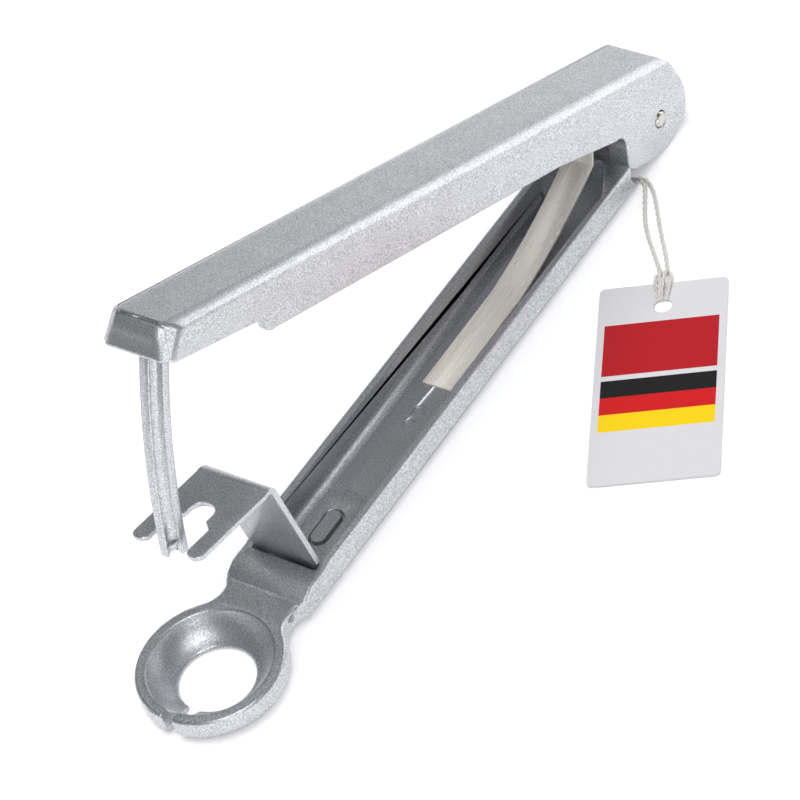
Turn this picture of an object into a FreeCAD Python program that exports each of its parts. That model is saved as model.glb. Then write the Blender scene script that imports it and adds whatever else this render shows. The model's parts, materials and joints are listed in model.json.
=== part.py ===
import FreeCAD, Part
import Sketcher
import math
import os
from FreeCAD import Vector

# Cherry pitter with lever, held open, lying on its lower arm.
# Millimetres. The origin is the centre of the cup ring on the surface that the arm lies on,
# +X runs from the ring to the hinge and +Z is up.

doc = FreeCAD.newDocument("cherry_pitter")
sheet = doc.addObject("Spreadsheet::Sheet", "Sizes")

SIZES = (
    # Hinge
    ("hinge_x", 165.5),
    ("hinge_z", 8.15),
    ("open_angle", 24.74),
    ("pin_radius", 2.0),
    ("pin_running_gap", 0.05),
    ("pin_dome", 0.35),
    # Lower arm
    ("arm_half_width", 10.05),
    ("arm_wall", 1.7),
    ("arm_floor", 1.2),
    ("foot_round", 3.0),
    ("wall_top_front", 8.6),
    ("wall_top_back", 7.65),
    ("channel_front_x", 27.6),
    ("channel_corner", 2.4),
    ("channel_back_x", 141.0),
    ("channel_end_x", 150.0),
    ("arm_end_x", 150.8),
    ("arm_lip_z", 1.15),
    ("arm_lip_x", 153.3),
    ("arm_end_curve", 3.6),
    ("tongue_half_width", 3.8),
    ("tongue_radius", 6.3),
    ("mark_x", 75.0),
    ("mark_pitch", 4.2),
    ("mark_radius", 1.7),
    ("mark_depth", 0.45),
    # Neck and cup
    ("cup_radius", 16.0),
    ("waist_radius", 6.0),
    ("waist_drop", 4.5),
    ("waist_x", "=sqrt((cup_radius + waist_radius) ^ 2 - (arm_half_width + waist_drop) ^ 2)"),
    ("plateau_top", 8.0),
    ("plateau_x", 23.1),
    ("slope_foot_x", 20.0),
    ("plateau_back_x", 28.0),
    ("wall_front_x", 31.0),
    ("cup_top", 6.5),
    ("rim_round", 0.9),
    ("dish_radius", 13.5),
    ("dish_curve", 9.0),
    ("hole_radius", 8.3),
    ("hole_edge_z", 0.7),
    ("gap_width", 2.6),
    # Rib that the bracket sits round
    ("rib_front_x", 36.9),
    ("rib_back_x", 45.9),
    ("rib_half_width", 1.7),
    ("rib_height", 1.75),
    ("rib_gap", 0.6),
    # Bracket
    ("sheet", 1.4),
    ("bend_radius", 1.6),
    ("bracket_half_width", 8.75),
    ("bracket_neck", 7.9),
    ("foot_half_width", 5.2),
    ("foot_back_x", 52.2),
    ("leg_foot_x", 30.5),
    ("leg_top_x", 25.4),
    ("leg_top_z", 36.6),
    ("plate_tip_x", 0.9),
    ("plate_rise", 11.4),
    ("shoulder_gap", 0.3),
    ("slot_head_x", 12.8),
    ("slot_head_radius", 2.8),
    ("slot_step_x", 10.2),
    ("mouth_half_width", 4.9),
    ("prong_round", 1.8),
    # Lever
    ("track_inset", 0.4),
    ("punch_track", "=hinge_x - track_inset"),
    ("nose_reach", 6.7),
    ("lever_length", "=punch_track + nose_reach"),
    ("lever_top", 13.47),
    ("lever_side_low", 9.0),
    ("lever_side_high", 8.45),
    ("side_low_z", 2.0),
    ("crease_z", 12.25),
    ("crown_half_width", 5.2),
    ("lobe_face", 9.3),
    ("lobe_radius", 10.6),
    ("lobe_low_radius", 7.95),
    ("lever_wall", 1.8),
    ("lever_roof", 1.9),
    ("lobe_inner_gap", 0.25),
    ("lobe_front", 14.6),
    ("front_edge", 5.1),
    ("nose_edge", 6.2),
    ("notch_back", 33.4),
    ("notch_front", 27.2),
    ("notch_start", "=lever_length - notch_back"),
    ("notch_end", "=lever_length - notch_front"),
    ("side_edge_front", 1.85),
    ("side_edge_back", 0.5),
    ("nose_corner", 1.5),
    ("nose_corner_flare", 20.0),
    ("nose_half_width", 8.75),
    # Plunger
    ("punch_radius", 3.1),
    ("punch_top_angle", 3.9),
    ("punch_tip_angle", 14.1),
    ("flute_radius", 1.5),
    ("flute_place", 3.55),
    ("tip_hollow", 4.0),
    ("boss_radius", 5.0),
    ("boss_low", 6.6),
    # Leaf spring
    ("leaf_half_width", 3.7),
    ("leaf_thickness", 0.7),
    ("leaf_front_x", 84.0),
    ("leaf_low_x", 112.0),
    ("leaf_bend_x", 146.6),
    ("leaf_bend_z", 10.2),
    ("leaf_top_gap", 0.3),
    ("leaf_top_reach", 21.0),
    # Hang tag
    ("card_width", 28.0),
    ("card_length", 56.0),
    ("card_thickness", 0.5),
    ("card_corner", 1.3),
    ("card_hole", 2.0),
    ("card_hole_drop", 6.6),
    ("card_hole_x", 122.7),
    ("card_hole_y", -33.5),
    ("card_turn", 208.5),
    ("knot_half_width", 1.6),
    ("knot_height", 1.6),
    ("knot_end", 9.2),
    ("string_size", 1.0),
)

row = 0
for alias, number in SIZES:
    row += 1
    cell = "A%d" % row
    sheet.set(cell, str(number))
    sheet.setAlias(cell, alias)
doc.recompute()


def size(expression):
    """The value of an expression written with the sheet's names."""
    found = sheet.evalExpression(spell(expression))
    return float(getattr(found, "Value", found))


def spell(expression):
    """Put the sheet's name before each size's name."""
    words = []
    word = ""
    for letter in expression + " ":
        if letter.isalnum() or letter == "_":
            word += letter
            continue
        if word in NAMES:
            word = "Sizes." + word
        words.append(word + letter)
        word = ""
    return "".join(words).strip()


NAMES = {alias for alias, number in SIZES}


def new_body(label):
    body = doc.addObject("PartDesign::Body", label)
    body.Label = label
    return body


def origin_plane(body, role):
    for feature in body.Origin.OriginFeatures:
        if feature.Role == role:
            return feature
    raise ValueError(role)


def bind(thing, **bindings):
    for prop, expression in bindings.items():
        thing.setExpression(prop.replace("__", "."), spell(expression))


def pin_point(sketch, geometry, end, point):
    """Tie a point of the sketch to a pair of expressions."""
    for kind, axis, expression in (("DistanceX", -2, point[0]), ("DistanceY", -1, point[1])):
        if expression == "0":
            sketch.addConstraint(Sketcher.Constraint("PointOnObject", geometry, end, axis))
            continue
        tie = Sketcher.Constraint(kind, -1, 1, geometry, end, size(expression))
        number = sketch.addConstraint(tie)
        sketch.setExpression("Constraints[%d]" % number, spell(expression))


def draw_outline(sketch, points):
    """A closed outline. A point is (x, y), or (x, y, radius, turn) where an arc of that
    radius leads on to the next point, turning left for +1 and right for -1."""
    start_end = []
    for i, point in enumerate(points):
        after = points[(i + 1) % len(points)]
        here = Vector(size(point[0]), size(point[1]), 0)
        there = Vector(size(after[0]), size(after[1]), 0)
        if len(point) == 2:
            geometry = sketch.addGeometry(Part.LineSegment(here, there))
            start_end.append((geometry, 1, 2))
            continue
        radius = size(point[2])
        chord = there - here
        rise = math.sqrt(radius ** 2 - (chord.Length / 2) ** 2)
        left = Vector(-chord.y, chord.x, 0).normalize()
        centre = (here + there) * 0.5 + left * rise * point[3]
        first, last = (here, there) if point[3] > 0 else (there, here)
        begin = math.atan2(first.y - centre.y, first.x - centre.x)
        finish = math.atan2(last.y - centre.y, last.x - centre.x)
        if finish < begin:
            finish += 2 * math.pi
        ring = Part.Circle(centre, Vector(0, 0, 1), radius)
        geometry = sketch.addGeometry(Part.ArcOfCircle(ring, begin, finish))
        start_end.append((geometry, 1, 2) if point[3] > 0 else (geometry, 2, 1))
    for i, (geometry, begin, finish) in enumerate(start_end):
        after = start_end[(i + 1) % len(start_end)]
        sketch.addConstraint(Sketcher.Constraint("Coincident", geometry, finish, after[0], after[1]))
    for point, (geometry, begin, finish) in zip(points, start_end):
        pin_point(sketch, geometry, begin, point)
        if len(point) == 4:
            number = sketch.addConstraint(Sketcher.Constraint("Radius", geometry, size(point[2])))
            sketch.setExpression("Constraints[%d]" % number, spell(point[2]))


def draw_circle(sketch, x, y, radius):
    ring = Part.Circle(Vector(size(x), size(y), 0), Vector(0, 0, 1), size(radius))
    geometry = sketch.addGeometry(ring)
    pin_point(sketch, geometry, 3, (x, y))
    number = sketch.addConstraint(Sketcher.Constraint("Radius", geometry, size(radius)))
    sketch.setExpression("Constraints[%d]" % number, spell(radius))


def new_sketch(body, name, role, outlines=(), circles=(), lift=None):
    sketch = body.newObject("Sketcher::SketchObject", name)
    sketch.AttachmentSupport = (origin_plane(body, role), [""])
    sketch.MapMode = "FlatFace"
    if lift:
        bind(sketch, AttachmentOffset__Base__z=lift)
    for points in outlines:
        draw_outline(sketch, points)
    for x, y, radius in circles:
        draw_circle(sketch, x, y, radius)
    return sketch


def add_feature(body, kind, name, sketch, **bindings):
    feature = body.newObject("PartDesign::" + kind, name)
    feature.Profile = sketch
    bind(feature, **bindings)
    body.Tip = feature
    return feature


def pad(body, name, sketch, length, both_sides=False, back=False):
    feature = add_feature(body, "Pad", name, sketch, Length=length)
    if both_sides:
        feature.SideType = "Symmetric"
    feature.Reversed = back
    doc.recompute()
    return feature


def pocket(body, name, sketch, length=None, both_sides=False, back=False):
    before = body.Shape.Volume
    feature = add_feature(body, "Pocket", name, sketch)
    if length:
        bind(feature, Length=length)
    else:
        feature.Type = "ThroughAll"
    if both_sides:
        feature.SideType = "Symmetric"
    feature.Reversed = back
    doc.recompute()
    if not body.Shape.Volume < before - 0.01:
        raise ValueError(name + " cuts nothing")
    return feature


def turn(body, kind, name, sketch, axis, angle, second=None, back=False):
    before = body.Shape.Volume if not body.Shape.isNull() else 0
    feature = add_feature(body, kind, name, sketch, Angle=angle)
    feature.ReferenceAxis = (sketch, [axis])
    feature.Reversed = back
    if second:
        feature.Type = "TwoAngles"
        bind(feature, Angle2=second)
    doc.recompute()
    if abs(body.Shape.Volume - before) < 0.01:
        raise ValueError(name + " changes nothing")
    return feature


def edges_where(shape, test):
    """The names of the edges whose box of corners passes the test."""
    names = []
    for i, edge in enumerate(shape.Edges):
        if test(edge, edge.BoundBox):
            names.append("Edge%d" % (i + 1))
    return names


def round_edges(body, name, radius, test, kind="Fillet"):
    names = edges_where(body.Shape, test)
    if not names:
        raise ValueError(name + " finds no edges")
    base = body.Tip
    feature = body.newObject("PartDesign::" + kind, name)
    feature.Base = (base, names)
    bind(feature, **{"Radius" if kind == "Fillet" else "Size": radius})
    body.Tip = feature
    doc.recompute()
    return feature


def mirrored(points):
    """Points on the +y side, then the same ones on the -y side, back to front."""
    other = [(x, y[1:] if y.startswith("-") else "-(" + y + ")") for x, y in reversed(points)]
    return list(points) + other


def near(value, target, slack=0.05):
    return abs(value - target) < slack


# Lower arm: channel, neck and cup in one casting


def make_lower_arm():
    body = new_body("arm_casting")
    waist_y = "sqrt((cup_radius + waist_radius) ^ 2 - waist_x ^ 2)"
    touch = "cup_radius / (cup_radius + waist_radius)"
    side_x = "(waist_x + sqrt(waist_radius ^ 2 - (" + waist_y + " - arm_half_width) ^ 2))"
    half = "arm_half_width"
    touch_x = "waist_x * " + touch
    touch_y = waist_y + " * " + touch
    plan = [
        (touch_x, "-(" + touch_y + ")", "waist_radius", -1),
        (side_x, "-" + half),
        ("arm_lip_x", "-" + half),
        ("arm_lip_x", half),
        (side_x, half, "waist_radius", -1),
        (touch_x, touch_y, "cup_radius", 1),
        ("-cup_radius", "0", "cup_radius", 1),
    ]
    sketch = new_sketch(body, "arm_plan", "XY_Plane", [plan])
    pad(body, "arm_block", sketch, "wall_top_front")
    cup_or_side = 5 * size("arm_half_width")
    round_edges(
        body, "foot_round", "foot_round",
        lambda edge, box: near(box.ZMax, 0)
        and (near(box.XMin, -size("cup_radius")) or box.XLength > cup_or_side))
    above = [
        ("-cup_radius - 1", "cup_top"),
        ("slope_foot_x", "cup_top"),
        ("plateau_x", "plateau_top"),
        ("plateau_back_x", "plateau_top"),
        ("wall_front_x", "wall_top_front"),
        ("arm_end_x", "wall_top_back"),
        ("hinge_x", "wall_top_back"),
        ("hinge_x", "2 * wall_top_front"),
        ("-cup_radius - 1", "2 * wall_top_front"),
    ]
    sketch = new_sketch(body, "arm_top_line", "XZ_Plane", [above])
    pocket(body, "arm_top_cut", sketch, "3 * cup_radius", both_sides=True)
    round_edges(
        body, "cup_rim_round", "rim_round",
        lambda edge, box: near(box.ZMin, size("cup_top")) and near(box.XMin, -size("cup_radius")))
    inner = "(arm_half_width - arm_wall)"
    flat = "(arm_half_width - arm_wall - channel_corner)"
    hollow = [
        (inner, "2 * wall_top_front"),
        ("-" + inner, "2 * wall_top_front"),
        ("-" + inner, "arm_floor + channel_corner", "channel_corner", 1),
        ("-" + flat, "arm_floor"),
        (flat, "arm_floor", "channel_corner", 1),
        (inner, "arm_floor + channel_corner"),
    ]
    sketch = new_sketch(body, "channel_section", "YZ_Plane", [hollow], lift="channel_front_x")
    pocket(body, "channel", sketch, "channel_back_x - channel_front_x", back=True)
    funnel = mirrored([
        ("channel_back_x - 0.5", inner),
        ("channel_back_x", inner),
        ("channel_end_x", "tongue_half_width - 0.3"),
    ])
    sketch = new_sketch(body, "channel_end_plan", "XY_Plane", [funnel], lift="arm_floor")
    pocket(body, "channel_end", sketch, back=True)
    end = [
        ("arm_end_x", "2 * wall_top_front"),
        ("arm_end_x", "wall_top_back - 0.8", "arm_end_curve", 1),
        ("arm_lip_x", "arm_lip_z"),
        ("arm_lip_x", "-1"),
        ("hinge_x", "-1"),
        ("hinge_x", "2 * wall_top_front"),
    ]
    sketch = new_sketch(body, "arm_end_line", "XZ_Plane", [end])
    pocket(body, "arm_end_cut", sketch, "3 * arm_half_width", both_sides=True)
    tongue = [
        ("channel_end_x - 0.2", "arm_floor"),
        ("arm_lip_x", "arm_floor"),
        ("hinge_x + 1", "hinge_z - sqrt(tongue_radius ^ 2 - 1)", "tongue_radius", 1),
        ("hinge_x - 3", "hinge_z + sqrt(tongue_radius ^ 2 - 9)"),
        ("arm_lip_x", "wall_top_back + 0.6"),
        ("channel_end_x - 0.2", "wall_top_back - 0.3"),
    ]
    sketch = new_sketch(body, "tongue_side", "XZ_Plane", [tongue])
    pad(body, "tongue", sketch, "2 * tongue_half_width", both_sides=True)
    sketch = new_sketch(body, "tongue_bore_ring", "XZ_Plane",
                        circles=[("hinge_x", "hinge_z", "pin_radius + pin_running_gap")])
    pocket(body, "tongue_bore", sketch, "3 * arm_half_width", both_sides=True)
    dish = [
        ("0", "-1"),
        ("hole_radius", "-1"),
        ("hole_radius", "hole_edge_z", "dish_curve", 1),
        ("dish_radius", "cup_top"),
        ("dish_radius", "cup_top + 1"),
        ("0", "cup_top + 1"),
    ]
    sketch = new_sketch(body, "dish_side", "XZ_Plane", [dish])
    turn(body, "Groove", "dish", sketch, "V_Axis", "360")
    rib_y = "rib_half_width"
    rib = [
        ("rib_front_x + rib_half_width", rib_y, "rib_half_width * 1.0001", 1),
        ("rib_front_x + rib_half_width", "-" + rib_y),
        ("rib_back_x - rib_half_width", "-" + rib_y, "rib_half_width * 1.0001", 1),
        ("rib_back_x - rib_half_width", rib_y),
    ]
    sketch = new_sketch(body, "rib_plan", "XY_Plane", [rib], lift="arm_floor")
    pad(body, "rib", sketch, "rib_height")
    marks = [("mark_x - mark_pitch / 2", "0", "mark_radius"),
             ("mark_x + mark_pitch / 2", "0", "mark_radius")]
    sketch = new_sketch(body, "pin_mark_plan", "XY_Plane", circles=marks, lift="arm_floor")
    pocket(body, "pin_marks", sketch, "mark_depth")
    gap = doc.addObject("Part::Box", "front_gap")
    bind(gap, Length="2 * (cup_radius - hole_radius)", Width="gap_width", Height="4 * cup_top")
    bind(gap, Placement__Base__x="-cup_radius - 2", Placement__Base__y="-gap_width / 2",
         Placement__Base__z="-2 * cup_top")
    arm = doc.addObject("Part::Cut", "lower_arm")
    arm.Base = body
    arm.Tool = gap
    arm.Label = "lower_arm"
    doc.recompute()
    return arm


# Bracket: one bent sheet that strips the cherry from the punch


def make_bracket():
    body = new_body("stripper_bracket")
    floor = "arm_floor"
    lean = "(leg_foot_x - leg_top_x) / (leg_top_z - arm_floor)"
    tip_z = "(leg_top_z + (leg_top_x - plate_tip_x) * tan(plate_rise))"
    side = [
        ("foot_back_x", floor),
        ("foot_back_x", floor + " + sheet"),
        ("leg_foot_x + bend_radius", floor + " + sheet", "bend_radius", -1),
        ("leg_foot_x - bend_radius * " + lean, floor + " + sheet + bend_radius"),
        ("leg_top_x + 0.2", "leg_top_z - 1", "bend_radius + sheet", 1),
        ("leg_top_x - 3", "leg_top_z + 3 * tan(plate_rise) + 0.1"),
        ("plate_tip_x", tip_z),
        ("plate_tip_x", tip_z + " - sheet"),
        ("leg_top_x - 3", "leg_top_z + 3 * tan(plate_rise) + 0.1 - sheet", "bend_radius", -1),
        ("leg_top_x - sheet + 0.2", "leg_top_z - 1"),
        ("leg_foot_x - sheet - bend_radius * " + lean, floor + " + sheet + bend_radius",
         "bend_radius + sheet", 1),
        ("leg_foot_x + bend_radius", floor),
    ]
    sketch = new_sketch(body, "bracket_side", "XZ_Plane", [side])
    pad(body, "bent_sheet", sketch, "2 * bracket_half_width", both_sides=True)
    wide = "bracket_half_width + 1"
    for sign, hand in ((1, "far"), (-1, "near")):
        mark = "" if sign > 0 else "-"
        cut = [
            (mark + "(" + wide + ")", "-1"),
            (mark + "foot_half_width", "-1"),
            (mark + "foot_half_width", floor + " + channel_corner + shoulder_gap"),
            (mark + "bracket_neck", floor + " + channel_corner + shoulder_gap + 2"),
            (mark + "bracket_neck", "wall_top_front + shoulder_gap"),
            (mark + "(" + wide + ")", "wall_top_front + shoulder_gap"),
        ]
        sketch = new_sketch(body, hand + "_shoulder_line", "YZ_Plane", [cut])
        pocket(body, hand + "_shoulder", sketch, "3 * foot_back_x", both_sides=True)
    reach = "(rib_half_width + rib_gap)"
    slot = [
        ("rib_front_x + rib_half_width", reach, reach + " * 1.0001", 1),
        ("rib_front_x + rib_half_width", "-" + reach),
        ("rib_back_x - rib_half_width", "-" + reach, reach + " * 1.0001", 1),
        ("rib_back_x - rib_half_width", reach),
    ]
    sketch = new_sketch(body, "foot_slot_plan", "XY_Plane", [slot])
    pocket(body, "foot_slot", sketch, "arm_floor + 2 * sheet", back=True)
    head = "slot_head_radius"
    keyhole = [
        ("plate_tip_x - 1", "mouth_half_width"),
        ("plate_tip_x - 1", "-mouth_half_width"),
        ("slot_step_x - 1.2", "-mouth_half_width"),
        ("slot_step_x + 0.6", "-" + head),
        ("slot_head_x", "-" + head, head + " * 1.0001", 1),
        ("slot_head_x", head),
        ("slot_step_x + 0.6", head),
        ("slot_step_x - 1.2", "mouth_half_width"),
    ]
    sketch = new_sketch(body, "keyhole_plan", "XY_Plane", [keyhole], lift="leg_top_z - 2")
    pocket(body, "keyhole", sketch, back=True)
    tip = size("plate_tip_x")
    round_edges(
        body, "prong_rounds", "prong_round",
        lambda edge, box: near(box.XMin, tip) and near(box.XMax, tip) and box.ZLength > 0.5)
    return body


# Lever: inverted channel with two hinge lobes, in its own frame.
# Its x runs from the hinge to the nose, its z is up, and the placement tips it open.


def place_on_hinge(thing):
    place = ("create(<<placement>>; create(<<vector>>; hinge_x; 0; hinge_z); "
             "create(<<rotation>>; 180; -open_angle; 0))")
    thing.setExpression("Placement", spell(place))


def make_lever():
    body = new_body("lever")
    low = "lobe_low_radius"
    side = [
        ("-1.6", "lever_top"),
        ("lever_length - 2.6", "lever_top", "5.6", -1),
        ("lever_length - 0.8", "nose_edge + 3.2"),
        ("lever_length", "nose_edge"),
        ("notch_end", "front_edge", "2.6", 1),
        ("(notch_start + notch_end) / 2 + 0.2", "(front_edge + side_edge_front) / 2", "2.6", -1),
        ("notch_start", "side_edge_front"),
        ("40", "2.0"),
        ("lobe_front + 3", "side_edge_back", "3", 1),
        ("lobe_front - 1", "-2.6"),
        ("lobe_front - 2.2", "-7.2", "4", -1),
        ("8.4", "-" + low + " - 0.6", "24", -1),
        ("0", "-" + low, low, -1),
        ("-" + low + " * sin(50)", "-" + low + " * cos(50)", "30", -1),
        ("-lobe_radius + 0.3", "-1.2", "lobe_radius", -1),
        ("-6.8", "8.7", "14", -1),
    ]
    sketch = new_sketch(body, "lever_side", "XZ_Plane", [side])
    pad(body, "lever_block", sketch, "2 * lobe_face + 4", both_sides=True)
    drop = "(lobe_face - lever_side_high) / (lever_side_low - lever_side_high) * (crease_z - side_low_z)"
    section = [
        ("lobe_face", "-2 * lobe_radius"),
        ("lobe_face", "crease_z - " + drop),
        ("lever_side_high", "crease_z", "lobe_radius / 2", 1),
        ("crown_half_width", "lever_top"),
        ("crown_half_width", "2 * lobe_radius"),
        ("-crown_half_width", "2 * lobe_radius"),
        ("-crown_half_width", "lever_top", "lobe_radius / 2", 1),
        ("-lever_side_high", "crease_z"),
        ("-lobe_face", "crease_z - " + drop),
        ("-lobe_face", "-2 * lobe_radius"),
    ]
    frame = [
        ("-3 * lobe_radius", "-3 * lobe_radius"),
        ("3 * lobe_radius", "-3 * lobe_radius"),
        ("3 * lobe_radius", "3 * lobe_radius"),
        ("-3 * lobe_radius", "3 * lobe_radius"),
    ]
    sketch = new_sketch(body, "lever_section", "YZ_Plane", [frame, section])
    pocket(body, "lever_sides", sketch, "3 * lever_length", both_sides=True)
    for sign, hand in (("", "far"), ("-", "near")):
        corner = [
            ("lever_length - nose_corner - 3", sign + "(nose_half_width + 3)"),
            ("lever_length + 3", sign + "(nose_half_width - nose_corner - 3)"),
            ("lever_length + 3", sign + "(nose_half_width + 3)"),
        ]
        sketch = new_sketch(body, hand + "_nose_corner_plan", "XY_Plane", [corner], lift="front_edge")
        feature = pocket(body, hand + "_nose_corner", sketch, "lever_top - front_edge + 1", back=True)
        bind(feature, TaperAngle="nose_corner_flare")
        doc.recompute()
    roof = "lever_top - lever_roof"
    hollow = [
        ("lobe_front + 2", roof),
        ("lobe_front + 2", "-2 * lobe_radius"),
        ("lever_length - 2.4", "-2 * lobe_radius"),
        ("lever_length - 2.4", "nose_edge + 2"),
        ("lever_length - 4.4", roof),
    ]
    sketch = new_sketch(body, "hollow_side", "XZ_Plane", [hollow])
    pocket(body, "hollow", sketch, "2 * (lever_side_high - lever_wall)", both_sides=True)
    slot = [
        ("-7.4", "-2 * lobe_radius"),
        ("lobe_front + 3", "-2 * lobe_radius"),
        ("lobe_front + 3", roof),
        ("-1.5", roof),
        ("-5.2", "7.6"),
        ("-7.4", "2.5"),
    ]
    sketch = new_sketch(body, "tongue_slot_side", "XZ_Plane", [slot])
    pocket(body, "tongue_slot", sketch, "2 * (tongue_half_width + lobe_inner_gap)", both_sides=True)
    sketch = new_sketch(body, "boss_plan", "XY_Plane",
                        circles=[("punch_track", "0", "boss_radius")], lift="boss_low")
    pad(body, "punch_boss", sketch, roof + " - boss_low + 0.2")
    sketch = new_sketch(body, "socket_ring", "XY_Plane", circles=[("punch_track", "0", "punch_radius")])
    turn(body, "Groove", "punch_socket", sketch, "V_Axis", "punch_top_angle", back=True)
    sketch = new_sketch(body, "pin_bore_ring", "XZ_Plane", circles=[("0", "0", "pin_radius")])
    pocket(body, "pin_bore", sketch, "3 * arm_half_width", both_sides=True)
    place_on_hinge(body)
    return body


# Punch: an arc about the hinge, four flutes, hollow tip


def make_plunger():
    body = new_body("plunger")
    sketch = new_sketch(body, "punch_section", "XY_Plane",
                        circles=[("punch_track", "0", "punch_radius")])
    turn(body, "Revolution", "punch_bar", sketch, "V_Axis", "punch_top_angle", "punch_tip_angle",
         back=True)
    step = "flute_place * cos(45)"
    rings = []
    for side in ("+", "-"):
        for lift in ("", "-"):
            rings.append(("punch_track " + side + " " + step, lift + step, "flute_radius"))
    sketch = new_sketch(body, "flute_section", "XY_Plane", circles=rings)
    turn(body, "Groove", "flutes", sketch, "V_Axis", "punch_top_angle + 1", "punch_tip_angle + 1",
         back=True)
    hollow = body.newObject("PartDesign::SubtractiveSphere", "tip_hollow_ball")
    bind(hollow, Radius="tip_hollow")
    past = "sqrt(tip_hollow ^ 2 - punch_radius ^ 2)"
    place = ("create(<<placement>>; create(<<vector>>; punch_track * cos(punch_tip_angle) - "
             + past + " * sin(punch_tip_angle); 0; -punch_track * sin(punch_tip_angle) - "
             + past + " * cos(punch_tip_angle)); create(<<rotation>>; 0; 0; 0))")
    hollow.setExpression("Placement", spell(place))
    body.Tip = hollow
    place_on_hinge(body)
    return body


# Hinge pin: straight, domed at both ends


def make_pin():
    body = new_body("hinge_pin")
    reach = "lobe_face"
    side = [
        ("0", "0"),
        ("pin_radius", "0"),
        ("pin_radius", reach + " - pin_dome"),
        ("pin_radius - pin_dome", reach),
        ("0", reach),
    ]
    sketch = new_sketch(body, "pin_side", "XY_Plane", [side])
    turn(body, "Revolution", "pin_half", sketch, "V_Axis", "360")
    mirror = body.newObject("PartDesign::Mirrored", "pin_other_half")
    mirror.Originals = [body.Tip]
    mirror.MirrorPlane = (origin_plane(body, "XZ_Plane"), [""])
    body.Tip = mirror
    place_on_hinge(body)
    return body


# Leaf spring: one strip, low on the channel's floor, bent up into the lever


def make_leaf():
    body = new_body("leaf_spring")
    floor = "arm_floor"
    thick = "leaf_thickness"
    top_x = "(hinge_x - leaf_top_reach * cos(open_angle) + (lever_top - lever_roof) * sin(open_angle))"
    top_z = ("(hinge_z + leaf_top_reach * sin(open_angle) + (lever_top - lever_roof) * cos(open_angle)"
             " - leaf_top_gap)")
    side = [
        ("leaf_front_x", floor),
        ("leaf_low_x", floor, "130", 1),
        ("leaf_bend_x", "leaf_bend_z"),
        (top_x + " + " + thick, top_z + " - 1"),
        (top_x, top_z + " - 0.4"),
        ("leaf_bend_x - " + thick, "leaf_bend_z + 0.5 * " + thick, "129", -1),
        ("leaf_low_x", floor + " + " + thick),
        ("leaf_front_x", floor + " + " + thick),
    ]
    sketch = new_sketch(body, "leaf_side", "XZ_Plane", [side])
    pad(body, "leaf", sketch, "2 * leaf_half_width", both_sides=True)
    return body


# Hang tag: a card on the floor beside the hinge


def make_card():
    body = new_body("hang_tag")
    half = "card_width / 2"
    outline = [
        ("card_hole_drop", "-" + half),
        ("card_hole_drop", half),
        ("card_hole_drop - card_length", half),
        ("card_hole_drop - card_length", "-" + half),
    ]
    sketch = new_sketch(body, "card_plan", "XY_Plane", [outline], circles=[("0", "0", "card_hole")])
    pad(body, "card", sketch, "card_thickness")
    round_edges(body, "card_corners", "card_corner",
                lambda edge, box: box.ZLength > 0.1 and box.XLength < 0.1 and box.YLength < 0.1)
    place_on_card(body)
    return body


# Knot: lies on the card from its hole over the top edge, where both strands come in


def make_knot():
    body = new_body("tag_knot")
    lap = [
        ("-knot_half_width", "-knot_half_width"),
        ("card_hole_drop + 0.1", "-knot_half_width"),
        ("card_hole_drop + 0.1", "knot_half_width"),
        ("-knot_half_width", "knot_half_width"),
    ]
    sketch = new_sketch(body, "knot_lap_plan", "XY_Plane", [lap], lift="card_thickness")
    pad(body, "knot_lap", sketch, "knot_height")
    end = [
        ("card_hole_drop + 0.1", "-knot_half_width"),
        ("knot_end", "-knot_half_width"),
        ("knot_end", "knot_half_width"),
        ("card_hole_drop + 0.1", "knot_half_width"),
    ]
    sketch = new_sketch(body, "knot_end_plan", "XY_Plane", [end])
    pad(body, "knot_head", sketch, "card_thickness + knot_height")
    place_on_card(body)
    return body


def place_on_card(thing):
    place = ("create(<<placement>>; create(<<vector>>; card_hole_x; card_hole_y; 0); "
             "create(<<rotation>>; card_turn - 180; 0; 0))")
    thing.setExpression("Placement", spell(place))


# String: two strands along the floor, from the arm's back lip to the knot.
# A route's points are chosen by hand, in plan; the strand lies on the floor.

STRANDS = {
    "tag_string_a": ((153.4, -7.4), (154.6, -8.7), (154.8, -10.6), (152.8, -13.4), (148.8, -16.5),
                     (144.2, -19.4), (140.2, -23.0), (136.9, -26.5), (133.6, -28.6), (131.15, -29.75)),
    "tag_string_b": ((153.4, -9.2), (153.5, -10.9), (151.6, -12.7), (147.6, -15.0), (142.8, -17.7),
                     (138.9, -21.4), (135.8, -25.2), (132.6, -27.3), (130.4, -28.4)),
}


def tangent_arcs(points):
    """Straight runs joined by tangent arcs, each as large as its two runs allow."""
    edges = []
    radii = []
    start = points[0]
    for before, here, after in zip(points, points[1:], points[2:]):
        back = before - here
        ahead = after - here
        half_turn = (math.pi - back.getAngle(ahead)) / 2
        radius = 0.45 * min(back.Length, ahead.Length) / math.tan(half_turn)
        radii.append(radius)
        reach = radius * math.tan(half_turn)
        first = here + back.normalize() * reach
        last = here + ahead.normalize() * reach
        inwards = (back + ahead).normalize()
        middle = here + inwards * (radius / math.cos(half_turn) - radius)
        edges.append(Part.LineSegment(start, first).toShape())
        edges.append(Part.Arc(first, middle, last).toShape())
        start = last
    edges.append(Part.LineSegment(start, points[-1]).toShape())
    return Part.Wire(edges), radii


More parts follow.
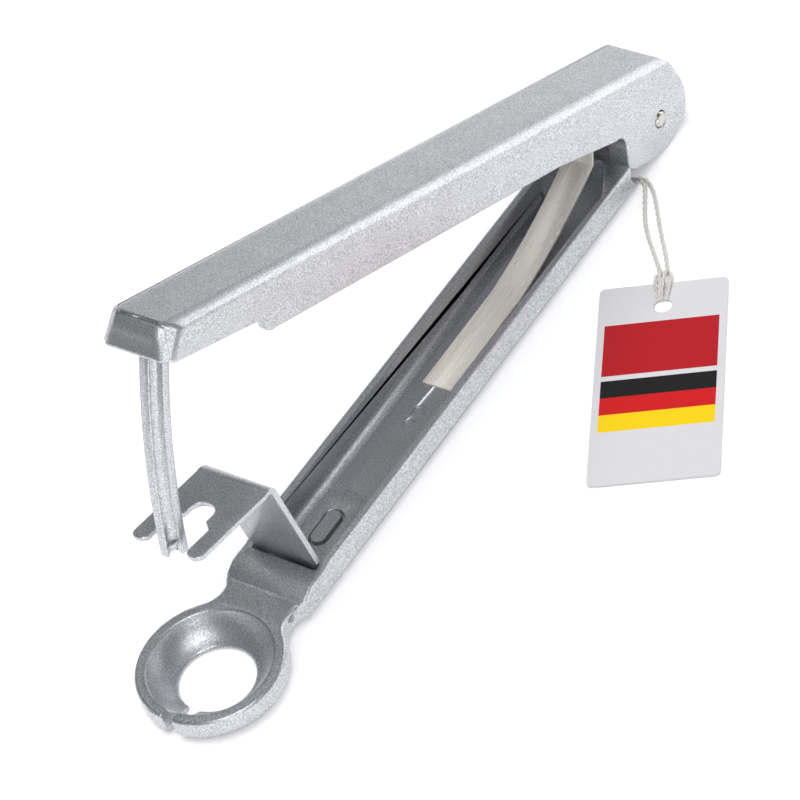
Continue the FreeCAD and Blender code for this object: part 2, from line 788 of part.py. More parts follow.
def make_strand(label):
    radius = size("string_size") / 2
    points = [Vector(x, y, radius) for x, y in STRANDS[label]]
    path, radii = tangent_arcs(points)
    ring = Part.Wire(Part.Circle(points[0], points[1] - points[0], radius).toShape())
    tube = path.makePipeShell([ring], True, False)
    strand = doc.addObject("Part::Feature", label)
    strand.Shape = tube
    strand.Label = label
    expected = math.pi * radius ** 2 * path.Length
    print("%s: %.1f mm long, volume %.2f of %.2f, radii %s" % (
        label, path.Length, tube.Volume, expected, " ".join("%.1f" % r for r in radii)))
    return strand


parts = [make_lower_arm(), make_bracket(), make_lever(), make_plunger(), make_pin(),
         make_leaf(), make_card(), make_knot()]
parts += [make_strand(label) for label in STRANDS]
doc.recompute()

for thing in doc.Objects:
    if "Invalid" in thing.State or "Error" in thing.State:
        raise ValueError("%s is %s" % (thing.Name, thing.State))
os.makedirs("parts", exist_ok=True)
for thing in parts:
    shape = thing.Shape
    if shape.isNull() or not shape.isValid():
        raise ValueError(thing.Label + " has no valid shape")
    box = shape.BoundBox
    print("%s: %d solid(s), %.1f mm3, x %.2f..%.2f y %.2f..%.2f z %.2f..%.2f" % (
        thing.Label, len(shape.Solids), shape.Volume, box.XMin, box.XMax,
        box.YMin, box.YMax, box.ZMin, box.ZMax))
    shape.exportStep("parts/%s.step" % thing.Label)
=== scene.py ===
"""Looks of a hand cherry pitter with a sprung lever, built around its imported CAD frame."""

import json
import math

import bmesh
import bpy
from mathutils import Matrix, Vector
from mathutils.bvhtree import BVHTree


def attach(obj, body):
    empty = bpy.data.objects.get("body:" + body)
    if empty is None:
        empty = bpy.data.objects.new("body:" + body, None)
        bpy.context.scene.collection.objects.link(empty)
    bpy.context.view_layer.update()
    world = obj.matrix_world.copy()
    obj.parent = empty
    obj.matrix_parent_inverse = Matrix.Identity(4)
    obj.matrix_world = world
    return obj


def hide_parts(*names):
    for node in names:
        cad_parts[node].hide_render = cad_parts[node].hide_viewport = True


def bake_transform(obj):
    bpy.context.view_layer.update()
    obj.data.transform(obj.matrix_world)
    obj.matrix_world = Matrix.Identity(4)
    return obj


bl_info = {
    "name": "Cherry pitter looks",
    "version": (1, 0, 0),
    "blender": (4, 5, 0),
    "location": "3D View > Sidebar > Pitter",
    "description": "Cast, sheet and steel pieces, string and card of a hand cherry pitter",
    "category": "Object",
}

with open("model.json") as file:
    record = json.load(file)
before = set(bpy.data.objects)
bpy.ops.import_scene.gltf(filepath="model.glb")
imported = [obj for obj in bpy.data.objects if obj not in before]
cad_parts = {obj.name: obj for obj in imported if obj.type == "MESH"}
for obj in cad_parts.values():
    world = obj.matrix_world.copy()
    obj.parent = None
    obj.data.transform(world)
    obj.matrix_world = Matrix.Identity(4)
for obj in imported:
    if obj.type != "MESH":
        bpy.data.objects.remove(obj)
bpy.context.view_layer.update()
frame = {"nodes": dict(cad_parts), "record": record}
HINGE = Vector(frame["record"]["behaviour"]["joints"][0]["pos_m"])
ARM_BODY = "lower_arm"
LEVER_BODY = "lever"
MM = 0.001
OPEN_ANGLE = math.radians(24.74)

# The photo's camera: place in metres, turn in degrees
CAMERA_PLACE = (-0.3326, -0.4475, 0.6144)
CAMERA_TURN = (43.1918, 13.8336, -56.4671)
CAMERA_LENS = 183.42
CAMERA_SENSOR = 36

# The floor glows a little where it is seen or mirrored, so that it reads as white.
FLOOR_SIZE = 6
FLOOR_DROP = 0.2 * MM
FLOOR_GLOW = 0.17

# Edge rounding and shading. A rounded vertex is stray when it is further from the old surface
# than this share of the rounding.
SMOOTH_ANGLE = math.radians(32)
MERGE_GAP = 0.06 * MM
FLAT_ANGLE = math.radians(0.4)
STRAY_SHARE = 0.6
PUNCH_ROUND = 0.25 * MM
LEAF_ROUND = 0.15 * MM

# The part of the channel whose low edges stay crisp: the rib and the ejector marks
CRISP_TOP = 3.4 * MM
CRISP_START = 30 * MM
CRISP_HALF_WIDTH = 8 * MM

# Along the lever from its hinge: where its long faces are cut, where the edges of its nose
# start, and where the faces get their own normals again. The nose's edges are rounded more.
LEVER_CUTS = (20 * MM, 60 * MM, 140 * MM, 160 * MM, 166 * MM)
NOSE_START = 164 * MM
NOSE_RESET = 166 * MM
NOSE_ROUND = 0.9 * MM

# The visible pin is a little thinner than the CAD's, so that its bore shows as a dark ring.
PIN_SHRINK = 0.92

# This turn, in radians, moves the pattern of the leaf spring's brushing.
LEAF_BRUSH_TURN = 0.15

# The hang tag, and the string's plies as shares of the string's radius
CARD_HOLE = Vector((122.7, -33.5, 0)) * MM
CARD_TURN = math.radians(28.5)
INK_GLOSS = 0.6
PLY_STEP = 0.16 * MM
PLY_THICKNESS = 0.56
PLY_OFFSET = 0.44
TWIST_PITCH = 3.6 * MM

# The strands' routes, in metres, on the floor. They start and end as the CAD's do; the points
# between are moved by up to 1.5 mm to follow the photo.
STRANDS = {
    "tag_string_a": ((0.1534, -0.0074), (0.1544, -0.0088), (0.1540, -0.0108), (0.1518, -0.0136),
                     (0.1484, -0.0164), (0.1440, -0.0197), (0.1395, -0.0233), (0.1360, -0.0262),
                     (0.1330, -0.0284), (0.13115, -0.02975)),
    "tag_string_b": ((0.1534, -0.0092), (0.1531, -0.0106), (0.1508, -0.0120), (0.1472, -0.0141),
                     (0.1424, -0.0171), (0.1383, -0.0206), (0.1351, -0.0239), (0.1322, -0.0266),
                     (0.1304, -0.0284)),
}

# The loop of the string's knot on the card, in the card's own millimetres: along, side, up.
KNOT = {
    "bight": ((1.6, 1.0, 0.3), (2.0, 1.15, 0.9), (3.6, 1.35, 1.1), (6.2, 1.75, 1.1), (8.2, 1.9, 0.9),
              (9.5, 0.9, 0.55), (9.5, -0.9, 0.55), (8.2, -1.7, 0.9), (6.2, -1.35, 1.1),
              (3.6, -1.0, 1.1), (2.0, -0.85, 0.9), (1.6, -0.75, 0.3)),
    "right_pass": ((9.2, -0.8, 0.5), (9.6, -0.7, 1.2), (9.0, -0.4, 1.6), (7.4, 0.1, 1.5),
                   (4.6, 0.3, 1.2), (2.3, 0.35, 1.0), (1.7, 0.3, 0.3)),
    "left_pass": ((9.2, 0.8, 0.5), (9.6, 0.8, 1.2), (9.0, 0.85, 1.6), (7.4, 0.95, 1.5),
                  (4.6, 0.7, 1.7), (2.4, 0.7, 1.3), (1.6, 0.6, 0.4)),
}

# Printed blocks: material slot, low and high, in the card's millimetres along from the hole,
# negative away from the top edge.
PRINT = ((1, -19.05, -4.4), (2, -25.2, -20.4), (3, -30.0, -25.2), (4, -34.8, -30.0))
PRINT_HALF_WIDTH = 12.4
FACING_UP = 0.9


class PitterSizes(bpy.types.PropertyGroup):
    edge_round: bpy.props.FloatProperty(
        name="Edge rounding", description="Radius of the castings' worn edges",
        default=0.45 * MM, min=0.1 * MM, max=1.2 * MM, unit="LENGTH")
    sheet_round: bpy.props.FloatProperty(
        name="Sheet edge rounding", description="Radius of the tumbled edges of the bracket",
        default=0.3 * MM, min=0.05 * MM, max=0.6 * MM, unit="LENGTH")
    string_size: bpy.props.FloatProperty(
        name="String thickness", description="Thickness of the twisted string",
        default=1.0 * MM, min=0.5 * MM, max=2.0 * MM, unit="LENGTH")
    grain: bpy.props.FloatProperty(
        name="Casting grain", description="Size of the bright grain in the castings' finish",
        default=0.3 * MM, min=0.05 * MM, max=2.0 * MM, unit="LENGTH")


class PitterColours(bpy.types.PropertyGroup):
    cast: bpy.props.FloatVectorProperty(
        name="Castings", description="Colour of the cast aluminium",
        subtype="COLOR", size=3, min=0, max=1, default=(0.62, 0.63, 0.66))
    spring: bpy.props.FloatVectorProperty(
        name="Spring", description="Colour of the brushed spring steel",
        subtype="COLOR", size=3, min=0, max=1, default=(0.97, 0.86, 0.78))
    pin: bpy.props.FloatVectorProperty(
        name="Pin", description="Colour of the polished pin",
        subtype="COLOR", size=3, min=0, max=1, default=(0.62, 0.59, 0.55))
    card: bpy.props.FloatVectorProperty(
        name="Card", description="Colour of the bare card",
        subtype="COLOR", size=3, min=0, max=1, default=(0.66, 0.655, 0.67))
    red_block: bpy.props.FloatVectorProperty(
        name="Red block", description="Colour of the card's printed block",
        subtype="COLOR", size=3, min=0, max=1, default=(0.43, 0.006, 0.012))
    band_red: bpy.props.FloatVectorProperty(
        name="Red band", description="Colour of the middle band",
        subtype="COLOR", size=3, min=0, max=1, default=(0.57, 0.006, 0.008))
    band_gold: bpy.props.FloatVectorProperty(
        name="Gold band", description="Colour of the lowest band",
        subtype="COLOR", size=3, min=0, max=1, default=(0.87, 0.6, 0.0))
    band_black: bpy.props.FloatVectorProperty(
        name="Black band", description="Colour of the top band",
        subtype="COLOR", size=3, min=0, max=1, default=(0.008, 0.008, 0.008))
    string: bpy.props.FloatVectorProperty(
        name="String", description="Colour of the cotton string",
        subtype="COLOR", size=3, min=0, max=1, default=(0.68, 0.66, 0.63))


# Small helpers for objects, selections and shader trees


def only(obj):
    """Deselect everything, then select obj and make it active."""
    bpy.ops.object.select_all(action="DESELECT")
    obj.hide_set(False)
    obj.select_set(True)
    bpy.context.view_layer.objects.active = obj
    return obj


def apply_all(obj):
    """Apply every modifier of obj in order."""
    only(obj)
    for modifier in list(obj.modifiers):
        bpy.ops.object.modifier_apply(modifier=modifier.name)


def settle(obj):
    """Leave obj at the origin, unturned and unscaled, with its place in its mesh."""
    only(obj)
    bpy.ops.object.transform_apply(location=True, rotation=True, scale=True)


def select_faces(obj, test):
    """In edit mode, select only the faces whose centre and normal pass test."""
    bpy.ops.mesh.select_mode(type="FACE")
    bpy.ops.mesh.select_all(action="DESELECT")
    mesh = bmesh.from_edit_mesh(obj.data)
    for face in mesh.faces:
        if test(face.calc_center_median(), face.normal):
            face.select_set(True)
    mesh.select_flush_mode()
    bmesh.update_edit_mesh(obj.data)


def select_edges(obj, test):
    """In edit mode, select only the edges that pass test, which gets both ends and the angle."""
    bpy.ops.mesh.select_mode(type="EDGE")
    bpy.ops.mesh.select_all(action="DESELECT")
    mesh = bmesh.from_edit_mesh(obj.data)
    for edge in mesh.edges:
        if test(edge.verts[0].co, edge.verts[1].co, edge.calc_face_angle(0.0)):
            edge.select_set(True)
    bmesh.update_edit_mesh(obj.data)


def merged_copy(node, name):
    """A copy of a CAD node's mesh with its loose triangles merged into whole faces."""
    source = frame["nodes"][node]
    piece = bpy.data.objects.new(name, source.data.copy())
    bpy.context.scene.collection.objects.link(piece)
    piece.matrix_world = source.matrix_world
    settle(piece)
    bpy.ops.object.mode_set(mode="EDIT")
    bpy.ops.mesh.select_all(action="SELECT")
    bpy.ops.mesh.remove_doubles(threshold=MERGE_GAP)
    bpy.ops.mesh.dissolve_limited(angle_limit=FLAT_ANGLE)
    bpy.ops.object.mode_set(mode="OBJECT")
    return piece


def cut_across(piece, spot, normal):
    """Split a piece's long faces at a plane, so that shading at one end stays there."""
    only(piece)
    bpy.ops.object.mode_set(mode="EDIT")
    bpy.ops.mesh.select_all(action="SELECT")
    bpy.ops.mesh.bisect(plane_co=spot, plane_no=normal)
    bpy.ops.object.mode_set(mode="OBJECT")


def soften(piece, width, angle=28, segments=3, spare=None, nose=None, nose_width=0.0):
    """Round a piece's edges that are sharper than angle, in degrees, apart from those that spare
    picks. Where nose is given, the edges that it picks are rounded by nose_width, and the faces
    beside all the rounds are shaded flat. A vertex that the rounding throws off the old surface
    is put back on it."""
    whole = BVHTree.FromPolygons([v.co.copy() for v in piece.data.vertices],
                                 [list(face.vertices) for face in piece.data.polygons])
    widest = max(width, nose_width)

    def sharp(start, end, turn):
        return turn > math.radians(angle) and not (spare and spare((start + end) / 2))

    only(piece)
    if nose:
        bpy.ops.object.shade_smooth_by_angle(angle=SMOOTH_ANGLE)
        bpy.ops.object.mode_set(mode="EDIT")
        for picked, size in ((False, width), (True, nose_width)):
            select_edges(piece, lambda start, end, turn: sharp(start, end, turn)
                         and nose((start + end) / 2) == picked)
            bpy.ops.transform.edge_bevelweight(value=size / widest)
        bpy.ops.object.mode_set(mode="OBJECT")
        bpy.ops.object.modifier_add(type="BEVEL")
        bevel = piece.modifiers[-1]
        bevel.limit_method = "WEIGHT"
        bevel.width = widest
        bevel.segments = segments
        bevel.use_clamp_overlap = False
        bevel.miter_outer = "MITER_ARC"
        bevel.harden_normals = True
        apply_all(piece)
    else:
        bpy.ops.object.mode_set(mode="EDIT")
        select_edges(piece, sharp)
        bpy.ops.mesh.bevel(offset=width, segments=segments, affect="EDGES", clamp_overlap=False,
                           miter_outer="ARC")
        bpy.ops.object.mode_set(mode="OBJECT")
    for vertex in piece.data.vertices:
        surface, _, _, gap = whole.find_nearest(vertex.co)
        if gap > STRAY_SHARE * widest:
            vertex.co = surface
    if not nose:
        bpy.ops.object.shade_smooth_by_angle(angle=SMOOTH_ANGLE)


def paint(piece, material):
    """Give a piece this one material."""
    piece.data.materials.clear()
    piece.data.materials.append(material)


class Tree:
    """A material's shader tree, built one named node at a time."""

    def __init__(self, name):
        self.material = bpy.data.materials.new(name)
        self.material.use_nodes = True
        self.nodes = self.material.node_tree.nodes
        self.links = self.material.node_tree.links
        self.shader = self.nodes["Principled BSDF"]

    def add(self, kind, **values):
        node = self.nodes.new(kind)
        for key, value in values.items():
            if hasattr(node, key):
                setattr(node, key, value)
            else:
                node.inputs[key.replace("_", " ")].default_value = value
        return node

    def join(self, source, target):
        self.links.new(source, target)

    def place(self, scale=(1, 1, 1), turn=(0, 0, 0)):
        """Object coordinates through a Mapping node."""
        coords = self.add("ShaderNodeTexCoord")
        mapping = self.add("ShaderNodeMapping")
        mapping.inputs["Scale"].default_value = scale
        mapping.inputs["Rotation"].default_value = turn
        self.join(coords.outputs["Object"], mapping.inputs["Vector"])
        return mapping.outputs["Vector"]

    def noise(self, where, scale, detail=2.0, roughness=0.5):
        node = self.add("ShaderNodeTexNoise", Scale=scale, Detail=detail, Roughness=roughness)
        self.join(where, node.inputs["Vector"])
        return node.outputs["Fac"]

    def ramp(self, source, low, high, low_colour, high_colour):
        node = self.add("ShaderNodeValToRGB")
        node.color_ramp.elements[0].position = low
        node.color_ramp.elements[0].color = (*low_colour, 1)
        node.color_ramp.elements[1].position = high
        node.color_ramp.elements[1].color = (*high_colour, 1)
        self.join(source, node.inputs["Fac"])
        return node.outputs["Color"]

    def span(self, source, low, high, to_low, to_high):
        node = self.add("ShaderNodeMapRange")
        node.inputs["From Min"].default_value = low
        node.inputs["From Max"].default_value = high
        node.inputs["To Min"].default_value = to_low
        node.inputs["To Max"].default_value = to_high
        self.join(source, node.inputs["Value"])
        return node.outputs["Result"]

    def bump(self, height, distance, strength=1.0, below=None):
        node = self.add("ShaderNodeBump", Strength=strength, Distance=distance)
        self.join(height, node.inputs["Height"])
        if below is not None:
            self.join(below, node.inputs["Normal"])
        return node.outputs["Normal"]


def shade(colour, factor):
    """A lighter or darker copy of a colour."""
    return tuple(min(1.0, c * factor) for c in colour)


def cast_metal(name, colour, grain, roughness=0.42):
    """Satin cast aluminium: bright grains, faint cloudiness and a slightly uneven skin."""
    tree = Tree(name)
    where = tree.place()
    grains = tree.noise(where, 1 / grain, 2.0, 0.6)
    clouds = tree.noise(where, 160, 3.0, 0.55)
    grained = tree.ramp(grains, 0.36, 0.66, shade(colour, 0.72), shade(colour, 1.3))
    clouded = tree.ramp(clouds, 0.3, 0.7, (0.93, 0.93, 0.93), (1.0, 1.0, 1.0))
    mix = tree.add("ShaderNodeMix", data_type="RGBA", blend_type="MULTIPLY")
    mix.inputs["Factor"].default_value = 1.0
    tree.join(grained, mix.inputs["A"])
    tree.join(clouded, mix.inputs["B"])
    tree.join(mix.outputs["Result"], tree.shader.inputs["Base Color"])
    tree.join(tree.span(grains, 0.3, 0.7, roughness + 0.1, roughness - 0.12),
              tree.shader.inputs["Roughness"])
    skin = tree.bump(clouds, 0.03 * MM, 0.5)
    tree.join(tree.bump(grains, 0.02 * MM, 0.9, skin), tree.shader.inputs["Normal"])
    tree.shader.inputs["Metallic"].default_value = 0.9
    return tree.material


def brushed_steel(name, colour, turn):
    """Spring steel with streaks that follow the X-Z plane, as the strip does. Turn, about Y,
    moves their pattern and not their direction."""
    tree = Tree(name)
    where = tree.place(scale=(60, 5000, 60), turn=(0, turn, 0))
    streaks = tree.noise(where, 1.0, 3.0, 0.6)
    patches = tree.noise(tree.place(scale=(90, 400, 90)), 1.0, 2.0, 0.5)
    tree.join(tree.ramp(streaks, 0.3, 0.7, shade(colour, 0.8), shade(colour, 1.15)),
              tree.shader.inputs["Base Color"])
    tree.join(tree.span(patches, 0.3, 0.7, 0.22, 0.32), tree.shader.inputs["Roughness"])
    tree.join(tree.bump(streaks, 0.006 * MM, 0.6), tree.shader.inputs["Normal"])
    tree.shader.inputs["Metallic"].default_value = 0.35
    return tree.material


def polished_steel(name, colour):
    """Polished steel with faint marks."""
    tree = Tree(name)
    marks = tree.noise(tree.place(), 2500, 2.0)
    tree.join(tree.ramp(marks, 0.35, 0.7, shade(colour, 0.9), shade(colour, 1.1)),
              tree.shader.inputs["Base Color"])
    tree.join(tree.span(marks, 0.3, 0.7, 0.16, 0.28), tree.shader.inputs["Roughness"])
    tree.shader.inputs["Metallic"].default_value = 1.0
    return tree.material


def card_print(name, colour, gloss=0.45):
    """Coated card or the ink on it, with a faint fibre."""
    tree = Tree(name)
    fibre = tree.noise(tree.place(), 4200, 3.0, 0.6)
    tree.join(tree.ramp(fibre, 0.3, 0.7, shade(colour, 0.97), colour),
              tree.shader.inputs["Base Color"])
    tree.join(tree.bump(fibre, 0.004 * MM, 0.4), tree.shader.inputs["Normal"])
    tree.shader.inputs["Roughness"].default_value = gloss
    return tree.material


def cotton(name, colour):
    """Cotton ply with fine fibres."""
    tree = Tree(name)
    fibre = tree.noise(tree.place(), 6500, 3.0, 0.7)
    tree.join(tree.ramp(fibre, 0.3, 0.7, shade(colour, 0.78), shade(colour, 1.08)),
              tree.shader.inputs["Base Color"])
    tree.join(tree.bump(fibre, 0.03 * MM, 0.7), tree.shader.inputs["Normal"])
    tree.shader.inputs["Roughness"].default_value = 0.85
    tree.shader.inputs["Sheen Weight"].default_value = 0.2
    return tree.material


def sizes():
    return bpy.context.scene.pitter_sizes


def colours():
    return bpy.context.scene.pitter_colours


def lever_point(along):
    """The point that is this far along the lever from the hinge, towards its nose."""
    return HINGE + Vector((-along * math.cos(OPEN_ANGLE), 0, along * math.sin(OPEN_ANGLE)))


def lever_along(place):
    """How far along the lever a place is from the hinge."""
    run = place - HINGE
    return run.z * math.sin(OPEN_ANGLE) - run.x * math.cos(OPEN_ANGLE)


def area_lamp(name, place, aim, size, power):
    """A rectangular lamp at place that faces aim."""
    data = bpy.data.lights.new(name, "AREA")
    data.shape = "RECTANGLE"
    data.size, data.size_y = size
    data.energy = power
    lamp = bpy.data.objects.new(name, data)
    bpy.context.scene.collection.objects.link(lamp)
    lamp.location = place
    lamp.rotation_euler = (Vector(aim) - Vector(place)).to_track_quat("-Z", "Y").to_euler()
    return lamp


class PITTER_OT_stage(bpy.types.Operator):
    """Set up the camera, the pale floor, the lamps and the world"""
    bl_idname = "pitter.stage"
    bl_label = "Camera and stage"

    def execute(self, context):
        scene = context.scene
        camera_data = bpy.data.cameras.new("photo_camera")
        camera_data.sensor_fit = "HORIZONTAL"
        camera_data.sensor_width = CAMERA_SENSOR
        camera_data.lens = CAMERA_LENS
        camera_data.clip_start = 0.01
        camera = bpy.data.objects.new("photo_camera", camera_data)
        scene.collection.objects.link(camera)
        camera.location = CAMERA_PLACE
        camera.rotation_euler = [math.radians(turn) for turn in CAMERA_TURN]
        scene.camera = camera

        bpy.ops.object.select_all(action="DESELECT")
        bpy.ops.mesh.primitive_plane_add(size=FLOOR_SIZE, location=(0, 0, -FLOOR_DROP))
        floor = context.object
        floor.name = "floor"
        settle(floor)
        tree = Tree("pale_floor")
        tree.shader.inputs["Base Color"].default_value = (0.93, 0.93, 0.93, 1)
        tree.shader.inputs["Roughness"].default_value = 0.9
        tree.shader.inputs["Specular IOR Level"].default_value = 0.1
        ray = tree.add("ShaderNodeLightPath")
        seen = tree.add("ShaderNodeMath", operation="MAXIMUM")
        tree.join(ray.outputs["Is Camera Ray"], seen.inputs[0])
        tree.join(ray.outputs["Is Glossy Ray"], seen.inputs[1])
        glow = tree.add("ShaderNodeMath", operation="MULTIPLY")
        glow.inputs[1].default_value = FLOOR_GLOW
        tree.join(seen.outputs["Value"], glow.inputs[0])
        tree.shader.inputs["Emission Color"].default_value = (1, 1, 1, 1)
        tree.join(glow.outputs["Value"], tree.shader.inputs["Emission Strength"])
        paint(floor, tree.material)

        world = scene.world or bpy.data.worlds.new("World")
        scene.world = world
        world.use_nodes = True
        nodes = world.node_tree.nodes
        links = world.node_tree.links
        nodes.clear()
        output = nodes.new("ShaderNodeOutputWorld")
        soft = nodes.new("ShaderNodeBackground")
        soft.inputs["Color"].default_value = (0.165, 0.17, 0.178, 1)
        soft.inputs["Strength"].default_value = 1.0
        white = nodes.new("ShaderNodeBackground")
        white.inputs["Color"].default_value = (1, 1, 1, 1)
        ray = nodes.new("ShaderNodeLightPath")
        mix = nodes.new("ShaderNodeMixShader")
        links.new(ray.outputs["Is Camera Ray"], mix.inputs["Fac"])
        links.new(soft.outputs["Background"], mix.inputs[1])
        links.new(white.outputs["Background"], mix.inputs[2])
        links.new(mix.outputs["Shader"], output.inputs["Surface"])

        area_lamp("key", (-0.42, -0.62, 0.95), (0.06, 0, 0), (0.7, 0.7), 5.0)
        wash = area_lamp("wash", (0.0, 0.12, 1.15), (0.06, 0, 0), (1.0, 1.0), 11.0)
        wash.visible_glossy = False
        area_lamp("left_box", (-0.7, -0.8, 0.14), (0, 0, 0.04), (0.55, 0.36), 1.6)
        area_lamp("strip_glint", (0.18, 0.47, 0.77), (0.12, 0, 0.0), (0.3, 0.3), 0.2)
        area_lamp("right_box", (1.0, -0.12, 0.31), (0.08, 0, 0.05), (0.7, 0.52), 2.4)
        area_lamp("far_box", (0.72, 0.62, 0.16), (0.08, 0, 0.05), (0.8, 0.26), 0.42)
        area_lamp("crease_box", (0.95, -0.62, 0.12), (0.08, 0, 0.05), (0.5, 0.2), 0.8)
        scene.view_settings.view_transform = "Standard"
        return {"FINISHED"}


class PITTER_OT_lower_arm(bpy.types.Operator):
    """Dress the lower arm's casting"""
    bl_idname = "pitter.lower_arm"
    bl_label = "Lower arm"

    def execute(self, context):
        arm = merged_copy("lower_arm", "arm_casting")
        soften(arm, sizes().edge_round, spare=lambda spot: spot.z < CRISP_TOP
               and spot.x > CRISP_START and abs(spot.y) < CRISP_HALF_WIDTH)
        paint(arm, cast_metal("cast_arm", colours().cast, sizes().grain))
        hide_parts("lower_arm")
        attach(arm, ARM_BODY)
        return {"FINISHED"}


class PITTER_OT_lever(bpy.types.Operator):
    """Dress the lever's casting"""
    bl_idname = "pitter.lever"
    bl_label = "Lever"

    def execute(self, context):
        lever = merged_copy("lever", "lever_casting")
        along = lever_point(MM) - HINGE
        for station in LEVER_CUTS:
            cut_across(lever, lever_point(station), along)
        soften(lever, sizes().edge_round, segments=5, nose_width=NOSE_ROUND,
               nose=lambda spot: lever_along(spot) > NOSE_START)
        only(lever)
        bpy.ops.object.mode_set(mode="EDIT")
        select_faces(lever, lambda centre, normal: lever_along(centre) > NOSE_RESET)
        bpy.ops.mesh.normals_tools(mode="RESET")
        bpy.ops.object.mode_set(mode="OBJECT")
        paint(lever, cast_metal("cast_lever", colours().cast, sizes().grain))
        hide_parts("lever")
        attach(lever, LEVER_BODY)
        return {"FINISHED"}


class PITTER_OT_plunger(bpy.types.Operator):
    """Dress the curved, fluted punch"""
    bl_idname = "pitter.plunger"
    bl_label = "Plunger"

    def execute(self, context):
        punch = merged_copy("plunger", "fluted_punch")
        soften(punch, PUNCH_ROUND)
        paint(punch, cast_metal("punch_metal", colours().cast, sizes().grain, 0.38))
        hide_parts("plunger")
        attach(punch, LEVER_BODY)
        return {"FINISHED"}


class PITTER_OT_bracket(bpy.types.Operator):
    """Dress the bent stripper bracket"""
    bl_idname = "pitter.bracket"
    bl_label = "Stripper bracket"

    def execute(self, context):
        bracket = merged_copy("stripper_bracket", "bent_bracket")
        soften(bracket, sizes().sheet_round)
        paint(bracket, cast_metal("bracket_sheet", colours().cast, sizes().grain, 0.4))
        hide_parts("stripper_bracket")
        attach(bracket, ARM_BODY)
        return {"FINISHED"}


class PITTER_OT_pin(bpy.types.Operator):
    """Dress the domed hinge pin"""
    bl_idname = "pitter.pin"
    bl_label = "Hinge pin"

    def execute(self, context):
        pin = merged_copy("hinge_pin", "domed_pin")
        only(pin)
        bpy.ops.transform.resize(value=(PIN_SHRINK, 1, PIN_SHRINK), center_override=HINGE)
        settle(pin)
        bpy.ops.object.shade_smooth_by_angle(angle=SMOOTH_ANGLE)
        paint(pin, polished_steel("pin_steel", colours().pin))
        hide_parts("hinge_pin")
        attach(pin, LEVER_BODY)
        return {"FINISHED"}


class PITTER_OT_spring(bpy.types.Operator):
    """Dress the leaf spring, which bends between the arm and the lever"""
    bl_idname = "pitter.spring"
    bl_label = "Leaf spring"

    def execute(self, context):
        leaf = merged_copy("leaf_spring", "leaf_strip")
        soften(leaf, LEAF_ROUND, angle=40, segments=2)
        paint(leaf, brushed_steel("spring_steel", colours().spring, LEAF_BRUSH_TURN))
        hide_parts("leaf_spring")
        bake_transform(leaf)
        return {"FINISHED"}


class PITTER_OT_card(bpy.types.Operator):
    """Dress the hang tag with its printed block and bands"""
    bl_idname = "pitter.card"
    bl_label = "Hang tag"

    def execute(self, context):
        card = merged_copy("hang_tag", "printed_card")
        tint = colours()
        paint(card, card_print("card", tint.card))
        for name, colour in (("red_ink", tint.red_block), ("black_ink", tint.band_black),
                             ("band_red_ink", tint.band_red), ("gold_ink", tint.band_gold)):
            card.data.materials.append(card_print(name, colour, INK_GLOSS))
        only(card)
        bpy.ops.object.mode_set(mode="EDIT")
        levels = sorted({level for block in PRINT for level in block[1:]})
        for along in levels:
            bpy.ops.mesh.select_all(action="SELECT")
            bpy.ops.mesh.bisect(plane_co=card_point(along, 0, 0), plane_no=card_axis(1, 0))
        for side in (-PRINT_HALF_WIDTH, PRINT_HALF_WIDTH):
            bpy.ops.mesh.select_all(action="SELECT")
            bpy.ops.mesh.bisect(plane_co=card_point(0, side, 0), plane_no=card_axis(0, 1))
        for slot, low, high in PRINT:
            select_faces(card, lambda centre, normal: normal.z > FACING_UP
                         and low < card_local(centre).x < high
                         and abs(card_local(centre).y) < PRINT_HALF_WIDTH)
            card.active_material_index = slot
            bpy.ops.object.material_slot_assign()
        bpy.ops.object.mode_set(mode="OBJECT")
        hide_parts("hang_tag")
        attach(card, ARM_BODY)
        return {"FINISHED"}


class PITTER_OT_strings(bpy.types.Operator):
    """Twist the string's strands along their routes"""
    bl_idname = "pitter.strings"
    bl_label = "String"

    def execute(self, context):
        ply = cotton("string", colours().string)
        radius = sizes().string_size / 2
        loops = []
        for name, points in KNOT.items():
            path = smooth_line(name, [card_point(*point) for point in points])
            loops.append(twisted(name, path))
        knot = joined(loops, "larks_head")
        paint(knot, ply)
        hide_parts("tag_knot")
        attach(knot, ARM_BODY)
        for name, route in STRANDS.items():
            path = smooth_line(name, [Vector((x, y, radius)) for x, y in route])
            strand = twisted(name + "_ply", path)
            paint(strand, ply)
            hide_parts(name)
            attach(strand, ARM_BODY)
        return {"FINISHED"}


def smooth_line(name, points):
    """The points of the smooth NURBS line that has these control points."""
    data = bpy.data.curves.new(name + "_line", "CURVE")
    data.dimensions = "3D"
    spline = data.splines.new("NURBS")
    spline.points.add(len(points) - 1)
    for point, place in zip(spline.points, points):
        point.co = (*place, 1)
    spline.order_u = 3
    spline.use_endpoint_u = True
    spline.resolution_u = 16
    line = bpy.data.objects.new(name + "_line", data)
    mesh = bpy.data.meshes.new_from_object(line)
    path = [vertex.co.copy() for vertex in mesh.vertices]
    bpy.data.meshes.remove(mesh)
    bpy.data.objects.remove(line)
    return path


def run_length(path):
    """How long a path is."""
    return sum((after - before).length for before, after in zip(path, path[1:]))


def spread_evenly(path, step):
    """Points step apart along path, with each one's direction."""
    count = max(2, round(run_length(path) / step))
    spots = []
    gone = 0.0
    index = 0
    for number in range(count + 1):
        target = run_length(path) * number / count
        while index < len(path) - 2 and gone + (path[index + 1] - path[index]).length < target:
            gone += (path[index + 1] - path[index]).length
            index += 1
        run = path[index + 1] - path[index]
        spots.append((path[index] + run.normalized() * (target - gone), run.normalized()))
    return spots


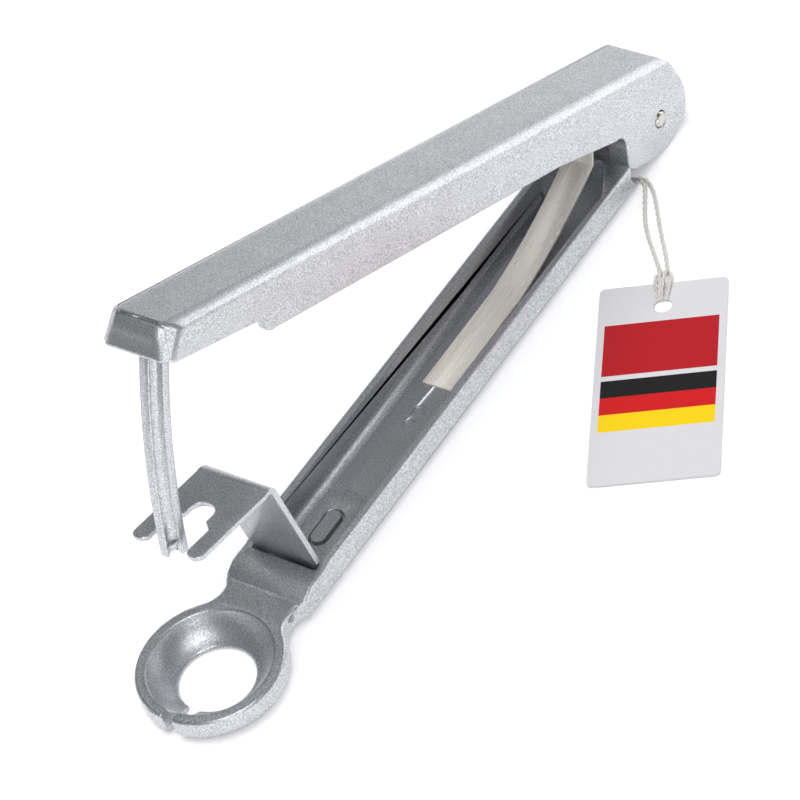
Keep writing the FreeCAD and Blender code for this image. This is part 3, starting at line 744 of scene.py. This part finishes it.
def twisted(name, path):
    """Two plies wound round each other along path, as one mesh."""
    radius = sizes().string_size / 2
    spots = spread_evenly(path, PLY_STEP)
    data = bpy.data.curves.new(name, "CURVE")
    data.dimensions = "3D"
    data.bevel_depth = PLY_THICKNESS * radius
    data.bevel_resolution = 2
    data.use_fill_caps = True
    for ply in (0, math.pi):
        spline = data.splines.new("POLY")
        spline.points.add(len(spots) - 1)
        for number, (spot, ahead) in enumerate(spots):
            turn = ply + 2 * math.pi * number * PLY_STEP / TWIST_PITCH
            aside = ahead.cross(Vector((0, 0, 1))).normalized()
            upward = aside.cross(ahead)
            outward = aside * math.cos(turn) + upward * math.sin(turn)
            place = spot + outward * PLY_OFFSET * radius
            spline.points[number].co = (*place, 1)
    strand = bpy.data.objects.new(name, data)
    bpy.context.scene.collection.objects.link(strand)
    only(strand)
    bpy.ops.object.convert(target="MESH")
    strand = bpy.context.object
    bpy.ops.object.shade_smooth()
    return strand


def joined(pieces, name):
    """Join pieces into one object with this name."""
    only(pieces[0])
    for piece in pieces[1:]:
        piece.select_set(True)
    bpy.ops.object.join()
    whole = bpy.context.object
    whole.name = name
    return whole


def card_axis(along, side):
    """A direction on the card, from its parts along and across it."""
    turn = Matrix.Rotation(CARD_TURN, 3, "Z")
    return turn @ Vector((along, side, 0))


def card_point(along, side, up):
    """A point of the card, in its own millimetres: along from its hole to its top edge, side
    across it and up from the floor."""
    return CARD_HOLE + card_axis(along, side) * MM + Vector((0, 0, up * MM))


def card_local(point):
    """Where a point is on the card, in its own millimetres."""
    return Matrix.Rotation(-CARD_TURN, 3, "Z") @ (point - CARD_HOLE) / MM


class PITTER_PT_looks(bpy.types.Panel):
    """The sizes, the colours and one button for each piece"""
    bl_label = "Pitter"
    bl_idname = "PITTER_PT_looks"
    bl_space_type = "VIEW_3D"
    bl_region_type = "UI"
    bl_category = "Pitter"

    def draw(self, context):
        for group in (context.scene.pitter_sizes, context.scene.pitter_colours):
            for name in group.bl_rna.properties.keys():
                if name not in ("rna_type", "name"):
                    self.layout.prop(group, name)
        for operator in OPERATORS:
            self.layout.operator(operator.bl_idname)


OPERATORS = (PITTER_OT_stage, PITTER_OT_card, PITTER_OT_strings, PITTER_OT_lower_arm,
             PITTER_OT_lever, PITTER_OT_plunger, PITTER_OT_bracket, PITTER_OT_pin, PITTER_OT_spring)
CLASSES = (PitterSizes, PitterColours) + OPERATORS + (PITTER_PT_looks,)


def register():
    for entry in CLASSES:
        bpy.utils.register_class(entry)
    bpy.types.Scene.pitter_sizes = bpy.props.PointerProperty(type=PitterSizes)
    bpy.types.Scene.pitter_colours = bpy.props.PointerProperty(type=PitterColours)


def unregister():
    del bpy.types.Scene.pitter_colours
    del bpy.types.Scene.pitter_sizes
    for entry in reversed(CLASSES):
        bpy.utils.unregister_class(entry)


def main():
    register()
    bpy.ops.pitter.stage()
    bpy.ops.pitter.card()
    bpy.ops.pitter.strings()
    bpy.ops.pitter.lower_arm()
    bpy.ops.pitter.lever()
    bpy.ops.pitter.plunger()
    bpy.ops.pitter.bracket()
    bpy.ops.pitter.pin()
    bpy.ops.pitter.spring()


if __name__ == "__main__":
    main()
